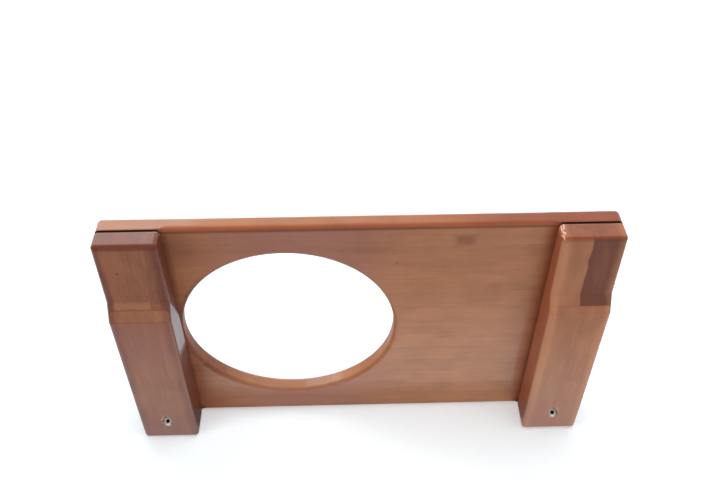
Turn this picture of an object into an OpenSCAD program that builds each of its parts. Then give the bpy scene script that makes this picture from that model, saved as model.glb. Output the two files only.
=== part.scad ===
// Wall shelf for a cat: a bamboo board with a round climb-through hole, carried by two stepped
// brackets that slide on to concealed steel hangers and are locked there by angled set screws.
// Origin: middle of the board's rear face, which lies on the wall. +X right, +Y into the wall, +Z up.

/* [Board] */
// Length of the board along the wall
board_l = 457; // [440:1:560]
// Depth of the board, wall to front edge
board_d = 272; // [264:1:330]
// Thickness of the board
board_t = 16; // [15:0.5:22]
// Rounding of the board's free edges and corners
edge_r = 4.5; // [2:0.5:6]

/* [Climb-through hole] */
// Diameter of the hole
hole_d = 206; // [150:1:212]
// Strip of board left between the hole and the left bracket
hole_strip = 1.5; // [1:0.5:12]
// Rounding of the hole's two rims
rim_r = 4; // [2:0.5:6]

/* [Brackets] */
// Width of each bracket
bracket_w = 54; // [50:1:66]
// Thickness of a bracket at its front end
tip_h = 20.5; // [19:0.5:22]
// Thickness of a bracket just in front of the step
nose_h = 23.4; // [22.5:0.1:26]
// Thickness of a bracket just behind the step
heel_h = 32.2; // [30:0.1:36]
// Thickness of a bracket at the wall
wall_h = 33.4; // [31:0.1:38]
// Distance from the wall to the rear foot of the step
heel_l = 186.5; // [170:0.5:195]
// Run of the sloping step along the bracket
step_l = 17; // [10:0.5:22]
// Rounding of all the bracket's edges
bracket_r = 4; // [2:0.5:5]

/* [Dowels] */
// Diameter of the wooden dowels between board and bracket
dowel_d = 8; // [6:0.5:9]
// Length of a dowel
dowel_l = 26; // [20:1:27]
// Length of the dowel that is glued into the board
dowel_up = 11; // [9:0.5:12]
// Distance from the wall to the first dowel
dowel_start = 52; // [50:1:58]
// Distance from the front edge to the last dowel
dowel_front = 37; // [34:1:45]
// Distance of each dowel from the bracket's centre line
dowel_side = 15; // [13:0.5:17]
// Gap around a dowel, filled by the glue
dowel_gap = 0.05; // [0.02:0.01:0.2]
// Depth of each dowel hole past the dowel's end
dowel_spare = 0.5; // [0.5:0.1:1]
// Radius of the glue flutes along a dowel
flute_r = 0.4; // [0.3:0.1:0.6]

/* [Wall hangers] */
// Diameter of the steel rod inside each bracket
rod_d = 10; // [8:0.5:11]
// Length of the rod in front of its wall plate
rod_l = 120; // [90:1:150]
// Distance of the rod's axis below the board
rod_drop = 14; // [13.5:0.1:15]
// Gap around the rod in its bore
rod_gap = 0.15; // [0.1:0.05:0.3]
// Depth of the bore past the rod's end
rod_spare = 3; // [1:0.5:8]
// Diameter of the rod's spigot, riveted through the plate
spigot_d = 8; // [5:0.5:8]
// Width of the wall plate
plate_w = 44; // [42:1:44]
// Height of the wall plate
plate_h = 18; // [16:0.5:18]
// Thickness of the wall plate
plate_t = 3; // [2:0.5:4]
// Corner radius of the wall plate
plate_r = 3; // [1:0.5:5]
// Gap around the plate in its pocket
plate_gap = 0.4; // [0.2:0.1:0.5]
// Diameter of the two holes for the wall screws
wall_hole_d = 5.5; // [4:0.5:7]
// Distance between the two wall screw holes
wall_hole_pitch = 30; // [27:1:32]
// Diameter of the relief for each wall screw's head
head_d = 12; // [10:0.5:13]
// Depth of the relief for each wall screw's head
head_h = 4; // [3:0.5:6]

/* [Set screws] */
// Angle of the set screw above the horizontal
lock_tilt = 35; // [33:1:40]
// Distance from the wall to the middle of the set screw's mouth
lock_y = 29.5; // [28:0.5:34]
// Diameter of the bore that the set screw lies in
lock_bore_d = 10.5; // [10:0.1:11]
// Thread diameter of the set screw
screw_d = 8; // [6:0.5:8]
// Length of the set screw with its dog point
screw_l = 16; // [15.5:0.5:17]
// Depth of the set screw's face inside its mouth
screw_in = 6.2; // [6:0.1:6.6]
// Diameter of the set screw's dog point
dog_d = 5.5; // [4:0.1:5.5]
// Length of the set screw's dog point
dog_l = 4; // [3.5:0.1:5]
// Width across the flats of the hex socket
socket_w = 4; // [3:0.5:4]
// Depth of the hex socket
socket_deep = 5; // [3:0.5:6]
// Diameter over the wood thread of the threaded insert
insert_d = 11.5; // [11.2:0.1:11.6]
// Length of the threaded insert
insert_l = 8; // [7:0.5:8]
// Depth of the threaded insert inside its mouth
insert_in = 8.3; // [8.3:0.1:8.5]
// Pitch of the insert's wood thread
insert_pitch = 2; // [1.5:0.1:3]
// Gap between the set screw and what it turns in
screw_gap = 0.05; // [0.02:0.01:0.1]
// Room around the set screw between the insert and the rod
screw_room = 0.4; // [0.2:0.1:0.8]

/* [Hidden] */
$fn = 64;
SIDES = ["left", "right"];
DOWELS = 4;
FLUTES = 12;

// Cutters run this far past the faces that they cut
past = 1;
// Rounds meet the flat faces at this small angle, in degrees, and cross them cleanly
crease = 6;
bamboo = "#9c6b4e";
beech = "#d9b98c";
steel = "#b8bcc0";
zinc = "#d2d3d0";

// The underside of the board, on which the brackets lie
joint_z = -board_t / 2;
bracket_x = board_l / 2 - bracket_w / 2;
hole_x = -(board_l / 2 - bracket_w - hole_strip - hole_d / 2);
hole_y = -board_d / 2;
rod_z = joint_z - rod_drop;

// Middle of the set screw's mouth, on the bracket's sloping underside
mouth_z = joint_z - wall_h - (heel_h - wall_h) * lock_y / heel_l;

function side_of(side) = side == "left" ? -1 : 1;
function unit(v) = v / norm(v);
function left_of(v) = [-v[1], v[0]];

// Where the line through p along d meets the line through q along e
function meet(p, d, q, e) =
    p + d * ((q[0] - p[0]) * e[1] - (q[1] - p[1]) * e[0]) / (d[0] * e[1] - d[1] * e[0]);

// An outline that runs anticlockwise, moved inwards by r, or outwards where r is negative
function inset(points, r) =
    let (n = len(points))
    [for (i = [0:n - 1])
        let (d = unit(points[i] - points[(i + n - 1) % n]), e = unit(points[(i + 1) % n] - points[i]))
        meet(points[i] + r * left_of(d), d, points[i] + r * left_of(e), e)];

// True where the outline turns outwards, as a block's corners do
function is_corner(points, i) =
    let (n = len(points), d = points[i] - points[(i + n - 1) % n], e = points[(i + 1) % n] - points[i])
    d[0] * e[1] - d[1] * e[0] > 0;

function rectangle(x0, y0, x1, y1) = [[x0, y0], [x1, y0], [x1, y1], [x0, y1]];

// Takes corner i of a prism off along a round, over its whole thickness
module corner_cutter(points, i, w, r) {
    n = len(points);
    axis = inset(points, r * cos(crease))[i];
    outer = inset(points, -past)[i];
    before = (r + past) * left_of(unit(points[i] - points[(i + n - 1) % n]));
    after = (r + past) * left_of(unit(points[(i + 1) % n] - points[i]));
    linear_extrude(w + 2 * past, center = true) difference() {
        polygon([axis, axis - before, outer, axis - after]);
        translate(axis) circle(r);
    }
}

// A prism of the outline, w thick about z = 0, with its outer corners rounded by r
module round_prism(points, w, r) {
    difference() {
        linear_extrude(w, center = true) polygon(points);
        for (i = [0:len(points) - 1]) {
            if (is_corner(points, i)) corner_cutter(points, i, w, r);
        }
    }
}

// Takes the upper edge off along the side from p to q, and past both ends by extra
module edge_cutter(p, q, w, r, extra) {
    depth = r * cos(crease);
    long = norm(q - p) + 2 * extra;
    translate(p) rotate(atan2(q[1] - p[1], q[0] - p[0])) translate([-extra, 0, w / 2 - depth]) difference() {
        translate([0, -extra - past, 0]) cube([long, depth + extra + past, depth + past]);
        translate([-past, depth, 0]) rotate([0, 90, 0]) cylinder(h = long + 2 * past, r = r);
    }
}

// All the upper edges: where the outline turns inwards, only what both of its sides take off
module upper_edges(points, w, r) {
    n = len(points);
    far = norm(points[0] - points[floor(n / 2)]);
    for (i = [0:n - 1]) {
        p = points[i];
        q = points[(i + 1) % n];
        if (!is_corner(points, (i + 1) % n)) intersection() {
            edge_cutter(p, q, w, r, far);
            edge_cutter(q, points[(i + 2) % n], w, r, far);
        }
        else if (is_corner(points, i)) edge_cutter(p, q, w, r, far);
    }
}

// Board

function board_outline() = rectangle(-board_l / 2, -board_d, board_l / 2, 0);

// The board's lower edges are rounded only between the brackets
module lower_edges() {
    free = board_l / 2 - bracket_w;
    mirror([0, 0, 1]) {
        edge_cutter([-free, -board_d], [free, -board_d], board_t, edge_r, 0);
        edge_cutter([free, 0], [-free, 0], board_t, edge_r, 0);
    }
}

module hole_cutter() {
    rim = board_t / 2 - rim_r;
    translate([hole_x, hole_y, 0]) rotate_extrude() difference() {
        translate([0, joint_z - past]) square([hole_d / 2 + rim_r, board_t + 2 * past]);
        translate([hole_d / 2, -rim]) square([rim_r + past, 2 * rim]);
        for (z = [-rim, rim]) translate([hole_d / 2 + rim_r, z]) circle(rim_r);
    }
}

module shelf_board() {
    color(bamboo) difference() {
        round_prism(board_outline(), board_t, edge_r);
        upper_edges(board_outline(), board_t, edge_r);
        lower_edges();
        hole_cutter();
        for (side = SIDES) for (i = [1:DOWELS]) dowel_hole(side, i);
    }
}

// Dowels

module at_dowel(side, i) {
    sway = i % 2 == 0 ? dowel_side : -dowel_side;
    pitch = (board_d - dowel_start - dowel_front) / (DOWELS - 1);
    translate([side_of(side) * (bracket_x + sway), -dowel_start - (i - 1) * pitch, joint_z]) children();
}

module dowel_hole(side, i) {
    at_dowel(side, i)
        translate([0, 0, dowel_up - dowel_l - dowel_spare])
        cylinder(h = dowel_l + 2 * dowel_spare, d = dowel_d + 2 * dowel_gap);
}

module dowel(side, i) {
    bevel = dowel_d / 8;
    color(beech) at_dowel(side, i) translate([0, 0, dowel_up - dowel_l]) difference() {
        rotate_extrude() polygon([
            [0, 0], [dowel_d / 2 - bevel, 0], [dowel_d / 2, bevel],
            [dowel_d / 2, dowel_l - bevel], [dowel_d / 2 - bevel, dowel_l], [0, dowel_l]
        ]);
        for (k = [1:FLUTES]) rotate(k * 360 / FLUTES) translate([dowel_d / 2, 0, -past])
            cylinder(h = dowel_l + 2 * past, r = flute_r, $fn = 24);
    }
}

// Brackets, drawn from the side: first coordinate along the depth, second up

function bracket_outline() = [
    [-board_d, joint_z], [-board_d, joint_z - tip_h], [-heel_l - step_l, joint_z - nose_h],
    [-heel_l, joint_z - heel_h], [0, joint_z - wall_h], [0, joint_z]
];

module bracket_block(side) {
    translate([side_of(side) * bracket_x, 0, 0]) rotate([90, 0, 90]) difference() {
        round_prism(bracket_outline(), bracket_w, bracket_r);
        for (flip = [0, 1]) mirror([0, 0, flip]) upper_edges(bracket_outline(), bracket_w, bracket_r);
    }
}

module bracket(side) {
    color(bamboo) difference() {
        bracket_block(side);
        at_rod(side) rod_bore();
        at_rod(side) plate_pocket();
        at_lock(side) lock_bore();
        for (i = [1:DOWELS]) dowel_hole(side, i);
    }
}

// Wall hangers, drawn with the rod along local z, away from the wall

module at_rod(side) {
    translate([side_of(side) * bracket_x, 0, rod_z]) rotate([90, 0, 0]) children();
}

// The wall plate, or its pocket where it grows, between two heights
module plate_form(from, to, grow) {
    x = plate_w / 2 + grow;
    y = plate_h / 2 + grow;
    translate([0, 0, (from + to) / 2]) round_prism(rectangle(-x, -y, x, y), to - from, plate_r + grow);
}

module at_wall_holes() {
    for (sign = [-1, 1]) translate([sign * wall_hole_pitch / 2, 0, 0]) children();
}

module hanger_plate(side) {
    color(steel) at_rod(side) difference() {
        plate_form(0, plate_t, 0);
        translate([0, 0, -past]) cylinder(h = plate_t + 2 * past, d = spigot_d);
        at_wall_holes() translate([0, 0, -past]) cylinder(h = plate_t + 2 * past, d = wall_hole_d);
    }
}

module plate_pocket() {
    plate_form(-past, plate_t + plate_gap, plate_gap);
    at_wall_holes() cylinder(h = plate_t + plate_gap + head_h, d = head_d);
}

module rod_bore() {
    translate([0, 0, -past]) cylinder(h = plate_t + rod_l + rod_spare + past, d = rod_d + 2 * rod_gap);
}

module hanger_rod(side) {
    bevel = rod_d / 10;
    tip = plate_t + rod_l;
    color(steel) difference() {
        at_rod(side) rotate_extrude() polygon([
            [0, 0], [spigot_d / 2, 0], [spigot_d / 2, plate_t], [rod_d / 2, plate_t],
            [rod_d / 2, tip - bevel], [rod_d / 2 - bevel, tip], [0, tip]
        ]);
        at_lock(side) dog_seat();
    }
}

// Set screws, drawn with local z along the bore and 0 at the middle of its mouth

module at_lock(side) {
    translate([side_of(side) * bracket_x, -lock_y, mouth_z]) rotate([lock_tilt - 90, 0, 0]) children();
}

// Runs past the insert to where its axis meets the underside of the rod
module lock_bore() {
    reach = (rod_z - rod_d / 2 - mouth_z) / sin(lock_tilt);
    translate([0, 0, -lock_bore_d]) cylinder(h = lock_bore_d + insert_in + insert_l / 2, d = lock_bore_d);
    cylinder(h = reach, d = screw_d + 2 * screw_room);
    insert_form();
}

module insert_form() {
    turns = floor(insert_l / insert_pitch);
    lead = insert_l - turns * insert_pitch;
    translate([0, 0, insert_in]) rotate_extrude() polygon(concat(
        [[0, 0], [lock_bore_d / 2, 0]],
        [for (k = [0:turns - 1]) each [
            [lock_bore_d / 2, lead + k * insert_pitch],
            [insert_d / 2, lead + (k + 0.5) * insert_pitch]
        ]],
        [[lock_bore_d / 2, insert_l], [0, insert_l]]
    ));
}

module thread_insert(side) {
    slot = screw_d / 5;
    color(zinc) at_lock(side) difference() {
        insert_form();
        cylinder(h = insert_in + insert_l + past, d = screw_d + 2 * screw_gap);
        translate([0, 0, insert_in]) cube([insert_d, slot, 2 * slot], center = true);
    }
}

module dog_seat() {
    cylinder(h = screw_in + screw_l + screw_gap, d = dog_d + 4 * screw_gap);
}

module set_screw(side) {
    bevel = (screw_d - dog_d) / 2;
    body = screw_l - dog_l;
    color(zinc) at_lock(side) translate([0, 0, screw_in]) difference() {
        rotate_extrude() polygon([
            [0, 0], [screw_d / 2 - bevel / 2, 0], [screw_d / 2, bevel / 2], [screw_d / 2, body - bevel],
            [dog_d / 2, body], [dog_d / 2, screw_l], [0, screw_l]
        ]);
        translate([0, 0, -past]) cylinder(h = socket_deep + past, d = socket_w / cos(30), $fn = 6);
    }
}

shelf_board();
for (side = SIDES) {
    bracket(side);
    hanger_plate(side);
    hanger_rod(side);
    thread_insert(side);
    set_screw(side);
    for (i = [1:DOWELS]) {
        dowel(side, i);
    }
}
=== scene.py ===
"""Dresses the wall shelf: finer bamboo pieces and threaded hardware, their finishes and a plain studio."""
import math

import bmesh
import bpy
from mathutils import Matrix, Vector


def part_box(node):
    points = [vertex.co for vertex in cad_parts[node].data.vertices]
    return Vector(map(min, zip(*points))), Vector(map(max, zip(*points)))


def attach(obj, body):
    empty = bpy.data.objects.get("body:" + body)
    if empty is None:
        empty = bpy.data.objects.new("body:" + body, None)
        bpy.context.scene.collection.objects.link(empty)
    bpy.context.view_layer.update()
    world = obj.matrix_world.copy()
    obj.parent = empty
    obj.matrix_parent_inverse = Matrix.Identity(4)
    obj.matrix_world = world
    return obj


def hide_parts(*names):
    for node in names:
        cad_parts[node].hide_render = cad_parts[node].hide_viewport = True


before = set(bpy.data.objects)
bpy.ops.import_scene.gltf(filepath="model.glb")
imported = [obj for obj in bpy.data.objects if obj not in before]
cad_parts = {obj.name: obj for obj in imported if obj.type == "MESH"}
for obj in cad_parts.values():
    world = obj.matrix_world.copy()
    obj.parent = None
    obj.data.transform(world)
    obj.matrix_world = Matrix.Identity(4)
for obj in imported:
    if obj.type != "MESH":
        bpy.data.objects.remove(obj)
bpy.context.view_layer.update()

MM = 0.001

# Sizes that the frame gives, in metres
board_low, board_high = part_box("shelf_board")
UNDERSIDE = board_low.z
TOP = board_high.z
FRONT = board_low.y
HALF_L = board_high.x
bracket_low, bracket_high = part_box("right_bracket")
BRACKET_W = bracket_high.x - bracket_low.x
BRACKET_X = (bracket_low.x + bracket_high.x) / 2
rod_low, rod_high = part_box("right_hanger_rod")
ROD_Z = (rod_low.z + rod_high.z) / 2
ROD_END = -rod_low.y
plate_low, plate_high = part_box("right_hanger_plate")
PLATE_W = plate_high.x - plate_low.x
PLATE_H = plate_high.z - plate_low.z
PLATE_T = -plate_low.y
SIDES = {"left": -1, "right": 1}
DOWELS = 4

# Board: its lower rounding dies away over RUN_OUT where a bracket begins
EDGE_R = 4.5 * MM
HOLE_R = 102.3 * MM
HOLE_X = -69.4 * MM
HOLE_Y = -135.5 * MM
RIM_R = 4 * MM
RUN_OUT = 6 * MM
OUTLINE_STEP = 3 * MM
FLAT_RIM = 0.8 * MM

# Brackets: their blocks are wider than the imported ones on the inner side; heights are below the board
INNER_EXTRA = 2.5 * MM
BLOCK_W = BRACKET_W + INNER_EXTRA
BLOCK_X = BRACKET_X - INNER_EXTRA / 2
INNER_X = HALF_L - BLOCK_W
TIP_H = 20.5 * MM
NOSE_H = 23.4 * MM
HEEL_H = 32.2 * MM
WALL_H = 33.4 * MM
HEEL_Y = -186.5 * MM
STEP_Y = HEEL_Y - 17 * MM
BRACKET_R = 4 * MM
STEP_R = 1.5 * MM

# Hardware: the set screw's bore runs up and back from its mouth, and depths in it are from there
DOWEL_GAP = 0.05 * MM
DOWEL_SPARE = 0.5 * MM
ROD_R = 5 * MM
ROD_GAP = 0.15 * MM
ROD_SPARE = 3 * MM
PLATE_GAP = 0.4 * MM
PLATE_R = 3 * MM
PLATE_EDGE_R = 0.4 * MM
SPIGOT_R = 4 * MM
WALL_HOLE_R = 2.75 * MM
WALL_HOLE_PITCH = 30 * MM
COUNTERSINK_R = 4.6 * MM
HEAD_R = 6 * MM
HEAD_H = 4 * MM
LOCK_TILT = math.radians(35)
LOCK_Y = -29.5 * MM
LOCK_R = 5.25 * MM
SCREW_R = 4 * MM
SCREW_L = 16 * MM
SCREW_IN = 6.2 * MM
SCREW_GAP = 0.4 * MM
SCREW_PITCH = 1.25 * MM
SCREW_ROOT_R = 3.35 * MM
DOG_R = 2.75 * MM
DOG_L = 4 * MM
DOG_BEVEL = 0.4 * MM
SOCKET_W = 4 * MM
SOCKET_DEEP = 5 * MM
SOCKET_LIP = 0.8 * MM
SOCKET_BEVEL = 0.2 * MM
INSERT_IN = 8.3 * MM
INSERT_L = 8 * MM
INSERT_R = 5.72 * MM
INSERT_ROOT_R = 5.22 * MM
INSERT_PITCH = 2 * MM
INSERT_BORE_R = 4.05 * MM
INSERT_BEVEL = 0.3 * MM
SLOT_W = 1.8 * MM
SLOT_DEEP = 1.5 * MM
SLOT_REACH = 8 * MM

# Meshes: their fineness, how far a cutter passes a face, the weld distance and a crisp edge's angle
ROUND_STEPS = 8
BORE_STEPS = 72
SCREW_STEPS = 48
THREAD_STEPS = 10
PAST = MM
WELD = 0.002 * MM
CRISP = math.radians(28)

# Red stain soaked into rounded edges and end faces, from 0 to 1; the board's sides have two values,
# for the left end and the right, and the middle has this share of the difference
SIDE_STAIN = (0.15, 0.95)
MIDDLE_SHARE = 0.2
RIM_STAIN = 0.1
RIM_EDGE_STAIN = 0.45
FLANK_STAIN = 0.9
LONG_EDGE_STAIN = 0.15
END_STAIN = 0.5

# Grain of the board
STRIP_W = 20.5 * MM
STRIP_SEED = 4.0
# Middle of each knuckle, half its length and width, in mm, and how dark it is
BOARD_KNUCKLES = (
    (93, -252, 10, 8, 0.5), (73, -213, 8, 9, 0.12), (124, -189, 9, 8, 0.14), (84, -122, 9, 8, 0.16),
    (101, -85, 9, 8, 0.18), (61, -53, 10, 7, 0.16), (-150, -20, 9, 8, 0.1), (150, -40, 8, 8, 0.1))
BOARD_PIN_KNOT = (33 * MM, -225 * MM, UNDERSIDE)

# Grain of the brackets: a pin knot in the left one, and a faint knuckle in both
BRACKET_PIN_KNOT = (-211 * MM, -240.5 * MM, UNDERSIDE - 22 * MM)
# Its x from the block's middle, its y, half its length and width, in mm, and how dark it is
BRACKET_KNUCKLE = (6, -90, 9, 14, 0.14)
# Where the painted shade and the red change on the way to the wall
TOWARD_WALL = (-100 * MM, -20 * MM)
# The left bracket's value, then the right one's; a tone is 0 where pale and 1 where deep
BRACKET_WOOD = {
    # x of the joint between the two upper staves, and z of the joint with the layer below them
    "joint": (-187.5 * MM, 198.6 * MM),
    "layer joint": (-34.7 * MM, -36.6 * MM),
    # Tones of the upper staves, of the lower layer and of the front's end grain
    "near tone": (0.5, 0.18),
    "far tone": (0.58, 0.85),
    "lower tone": (0.38, 0.16),
    "end tone": (0.85, 0.5),
    # What is added to the tone along the underside's long edges and on the sawn ends at the step
    "long edges": (0.26, -0.45),
    "sawn ends": (-0.2, 0.0),
    # Painted shade on the flanks, on the front's lower edge and toward the wall
    "flank shade": (0.85, -0.1),
    "front shade": (0.7, 0.25),
    "wall shade": (0.45, 0.25),
    # Red stain, which toward the wall also paints shade; a mauve tint that paints the varnish's sheen on the
    # heel; and the share of the edges' stain that is left on the step
    "red": (0.08, 0.12),
    "heel sheen": (0.35, 0.0),
    "step stain": (0.6, 0.3),
    # How far down the inner front corner the painted highlight reaches
    "glint foot": (UNDERSIDE - 6 * MM, UNDERSIDE - TIP_H),
}

# Noise in wood: features to the metre along the grain, and twice across it
STRIP_WAVER = (14, 60, 60)
STAVE_WAVER = (75, 30, 30)
FINE_FIBRES = (22, 900, 900)
BROAD_FIBRES = (5, 150, 150)
STAIN_PATCHES = (26, 40, 40)
KNUCKLE_MOTTLE = (160, 320, 320)
VARNISH_WAVES = (30, 60, 60)
VARNISH_DUST = (18, 30, 30)
# How far apart the grain of different staves lies in the noise
STAVE_JUMP = (31, 57, 83)
# Noise elsewhere: features to the metre on x, y and z
RAGGED_STAIN = (60, 25, 60)
GLINT_FLECKS = (500, 500, 260)
METAL_MARKS = (900, 900, 5200)
METAL_TARNISH = (160, 160, 160)
FLOOR_SPECKLE = (3, 3, 3)

# Colours of the stained bamboo, and of the shade, sheen and highlight painted on it
PALE = (0.50, 0.225, 0.108, 1)
DEEP = (0.17, 0.056, 0.036, 1)
RED_STAIN = (0.43, 0.110, 0.037, 1)
DEEP_RED_STAIN = (0.18, 0.042, 0.018, 1)
# Colour of the painted shade
WARM_SHADE = (0.13, 0.030, 0.013, 1)
# Painted shadow in the groove between the board and a bracket
GROOVE_SHADOW_COLOUR = (0.060, 0.020, 0.013, 1)
# Painted sheen: the mauve that the varnish's reflection gives
SHEEN_TINT = (0.33, 0.15, 0.15, 1)
# Colour of the painted highlight on the brackets' inner front corners
GLINT_PALE = (0.95, 0.72, 0.60, 1)
# Colours of bare wood: two tones and its dark streaks
RAW_BAMBOO = ((0.80, 0.60, 0.42, 1), (0.62, 0.42, 0.27, 1), (0.35, 0.20, 0.11, 1))
BEECH = ((0.68, 0.50, 0.30, 1), (0.56, 0.38, 0.20, 1), (0.36, 0.22, 0.11, 1))
# Colours of plated metal, bright and tarnished, and of the painted shade deep in its sockets
STEEL = ((0.62, 0.63, 0.65, 1), (0.42, 0.42, 0.42, 1))
ZINC = ((0.97, 0.97, 0.95, 1), (0.74, 0.72, 0.68, 1))
SOCKET_SHADE = (0.03, 0.025, 0.02, 1)
METAL_SHARE = 0.4
# The varnish where it is glossy, and where dust has dulled it
VARNISH_ROUGH = (0.42, 0.54)
# How much each part of the grain deepens the tone
BAND_SHARE = 0.08
STREAK_SHARE = 0.10
PATCH_SHARE = 0.15
GLUE_SHARE = 0.10

# The photograph's viewpoint, from the shelf's edges in it
VIEW_FROM = Vector((-14.15, -754.21, -516.55)) * MM
VIEW_YAW = math.radians(1.591)
VIEW_PITCH = math.radians(45.513)
VIEW_ROLL = math.radians(2.2)
FOCAL_PIXELS = 813.7
PHOTO_WIDTH = 720
SENSOR_MM = 36

# Studio, in metres; each lamp has its place, aim, size and power, and shows in reflections or not
WALL_HALF = 2.4
WALL_GAP = 1.5 * MM
WALL_PAINT = (0.86, 0.93, 0.97, 1)
WALL_MIRRORED = (0.9, 0.95, 1, 1)
WALL_GLOW = 0.27
FLOOR_HALF = 4.0
FLOOR_Z = -0.95
FLOOR_SHADES = (0.85, 0.816)
FLOOR_GLOW = 0.6
ROOM_LIGHT = 0.33
ROOM_MIRRORED = 0.4
WHITE = (1, 1, 1, 1)
MIDDLE = (0, -0.14, 0)
LAMPS = (
    ("front", (0.35, -1.9, 0.1), MIDDLE, 1.2, 18, False),
    ("left window", (-0.62, -0.8, 0.75), MIDDLE, 0.7, 3.2, True),
    ("overhead", (0, -0.3, 1.3), MIDDLE, 1.0, 7, True),
    ("wall bounce", (0.6, 0.5, -0.8), (0.1, -0.14, 0), 0.8, 5.2, False),
    ("low left", (-1.3, -0.6, -0.7), MIDDLE, 0.8, 7, False))


# Meshes

def new_object(name, data):
    """An object of the scene."""
    thing = bpy.data.objects.new(name, data)
    bpy.context.scene.collection.objects.link(thing)
    return thing


def skin(name, loops, material=None, ring=False):
    """A closed mesh over loops of (point, edge stain, or painted shade on metal); a ring joins up, and else
    both ends get a face.
    """
    count = len(loops[0])
    rows = len(loops)
    faces = []
    for j in range(rows if ring else rows - 1):
        a, b = j * count, (j + 1) % rows * count
        for i in range(count):
            k = (i + 1) % count
            faces.append((a + i, a + k, b + k, b + i))
    if not ring:
        faces.append(tuple(range(count)))
        faces.append(tuple(range((rows - 1) * count, rows * count)))
    mesh = bpy.data.meshes.new(name)
    mesh.from_pydata([p for loop in loops for p, _ in loop], [], faces)
    edge = mesh.attributes.new("edge", "FLOAT", "POINT")
    edge.data.foreach_set("value", [e for loop in loops for _, e in loop])
    work = bmesh.new()
    work.from_mesh(mesh)
    bmesh.ops.remove_doubles(work, verts=work.verts, dist=WELD)
    bmesh.ops.recalc_face_normals(work, faces=work.faces)
    work.to_mesh(mesh)
    work.free()
    if material:
        mesh.materials.append(material)
    return new_object(name, mesh)


def rounding(radius, side_stain=0.0, stain=1.0):
    """Stations over a quarter round: inset from the side, drop from the face, and stain soaked in."""
    found = []
    for k in range(ROUND_STEPS + 1):
        t = math.pi / 2 * k / ROUND_STEPS
        soaked = max(stain * math.sin(2 * t), side_stain * (1 - k / ROUND_STEPS))
        found.append((radius * (1 - math.cos(t)), radius * (1 - math.sin(t)), soaked))
    return found


def rectangle(low_x, low_y, high_x, high_y):
    """Its corners, anticlockwise."""
    return [Vector(c) for c in ((low_x, low_y), (high_x, low_y), (high_x, high_y), (low_x, high_y))]


def rounded_outline(corners, outer_r, inner_r=0.0):
    """Points, outward normals and edge stain along an anticlockwise outline with rounded corners."""
    found = []
    for i, corner in enumerate(corners):
        before = (corner - corners[i - 1]).normalized()
        after = (corners[(i + 1) % len(corners)] - corner).normalized()
        turn = math.atan2(before.cross(after), before.dot(after))
        radius = outer_r if turn > 0 else -inner_r
        first = Vector((before.y, -before.x))
        last = Vector((after.y, -after.x))
        centre = corner - radius * (first + last) / (1 + first.dot(last))
        for k in range(ROUND_STEPS + 1):
            normal = Matrix.Rotation(turn * k / ROUND_STEPS, 2) @ first
            found.append((centre + radius * normal, normal, math.sin(math.pi * k / ROUND_STEPS)))
    return found


def ring_of(place, height, radius_at, steps=SCREW_STEPS, socket_shade=0.0):
    """A loop round the local z axis, whose radius may change with the angle."""
    loop = []
    for k in range(steps):
        t = math.tau * k / steps
        radius = radius_at(t)
        loop.append((place @ Vector((radius * math.cos(t), radius * math.sin(t), height)), socket_shade))
    return loop


def turned_cutter(profile, place):
    """A cutter that is turned from (radius, height) pairs round the local z axis."""
    rings = [ring_of(place, height, lambda t: radius, BORE_STEPS) for radius, height in profile]
    return skin("cutter", rings)


def bore(radius, start, end, place):
    """A plain round cutter between two heights."""
    return turned_cutter([(radius, start), (radius, end)], place)


def prism_cutter(outline, start, end, place):
    """A cutter with a flat outline, between two heights."""
    return skin("cutter", [[(place @ Vector((*p, z)), 0.0) for p in outline] for z in (start, end)])


def cut(piece, tools, inner):
    """Takes the tools away from the piece; the new walls get the inner material."""
    for tool in tools:
        tool.data.materials.append(inner)
        change = piece.modifiers.new("cut", "BOOLEAN")
        change.operation = "DIFFERENCE"
        change.solver = "EXACT"
        change.material_mode = "TRANSFER"
        change.object = tool
    bpy.context.view_layer.update()
    graph = bpy.context.evaluated_depsgraph_get()
    mesh = bpy.data.meshes.new_from_object(piece.evaluated_get(graph))
    piece.modifiers.clear()
    piece.data = mesh
    for tool in tools:
        bpy.data.objects.remove(tool)


def settle(piece, node):
    """Shades the piece smoothly up to its crisp edges, and lets it stand for its node."""
    piece.data.shade_smooth()
    piece.data.set_sharp_from_angle(angle=CRISP)
    weighted = piece.modifiers.new("flat faces", "WEIGHTED_NORMAL")
    weighted.keep_sharp = True
    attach(piece, "root")
    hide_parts(node)


# Shader nodes

ORIGIN = (0.0, 0.0, 0.0)


def feed(tree, node, inputs):
    """Fills inputs of a node, each with a constant or another node's output."""
    for name, value in inputs.items():
        if isinstance(value, bpy.types.NodeSocket):
            tree.links.new(value, node.inputs[name])
        else:
            node.inputs[name].default_value = value


def put(tree, kind, inputs=(), **settings):
    """Adds a node with its settings and inputs."""
    node = tree.nodes.new("ShaderNode" + kind)
    for name, value in settings.items():
        setattr(node, name, value)
    feed(tree, node, dict(inputs))
    return node


def use(tree, group, **inputs):
    """Places a node group and gives its outputs; a low line in an input's name stands for a space."""
    named = {name.replace("_", " "): value for name, value in inputs.items()}
    return put(tree, "Group", named, node_tree=group).outputs


def calc(tree, operation, *values, clamp=False):
    """One step of arithmetic."""
    return put(tree, "Math", dict(enumerate(values)), operation=operation, use_clamp=clamp).outputs[0]


def calc_all(tree, operation, values):
    """The same step from each value to the next."""
    result, *rest = values
    for value in rest:
        result = calc(tree, operation, result, value)
    return result


def times(tree, *values):
    """The product of the values."""
    return calc_all(tree, "MULTIPLY", values)


def total(tree, *values):
    """The sum of the values."""
    return calc_all(tree, "ADD", values)


def highest(tree, *values):
    """The highest of the values."""
    return calc_all(tree, "MAXIMUM", values)


def lowest(tree, *values):
    """The lowest of the values."""
    return calc_all(tree, "MINIMUM", values)


def apart(tree, value, other):
    """How far two values are apart."""
    return calc(tree, "ABSOLUTE", calc(tree, "SUBTRACT", value, other))


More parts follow.
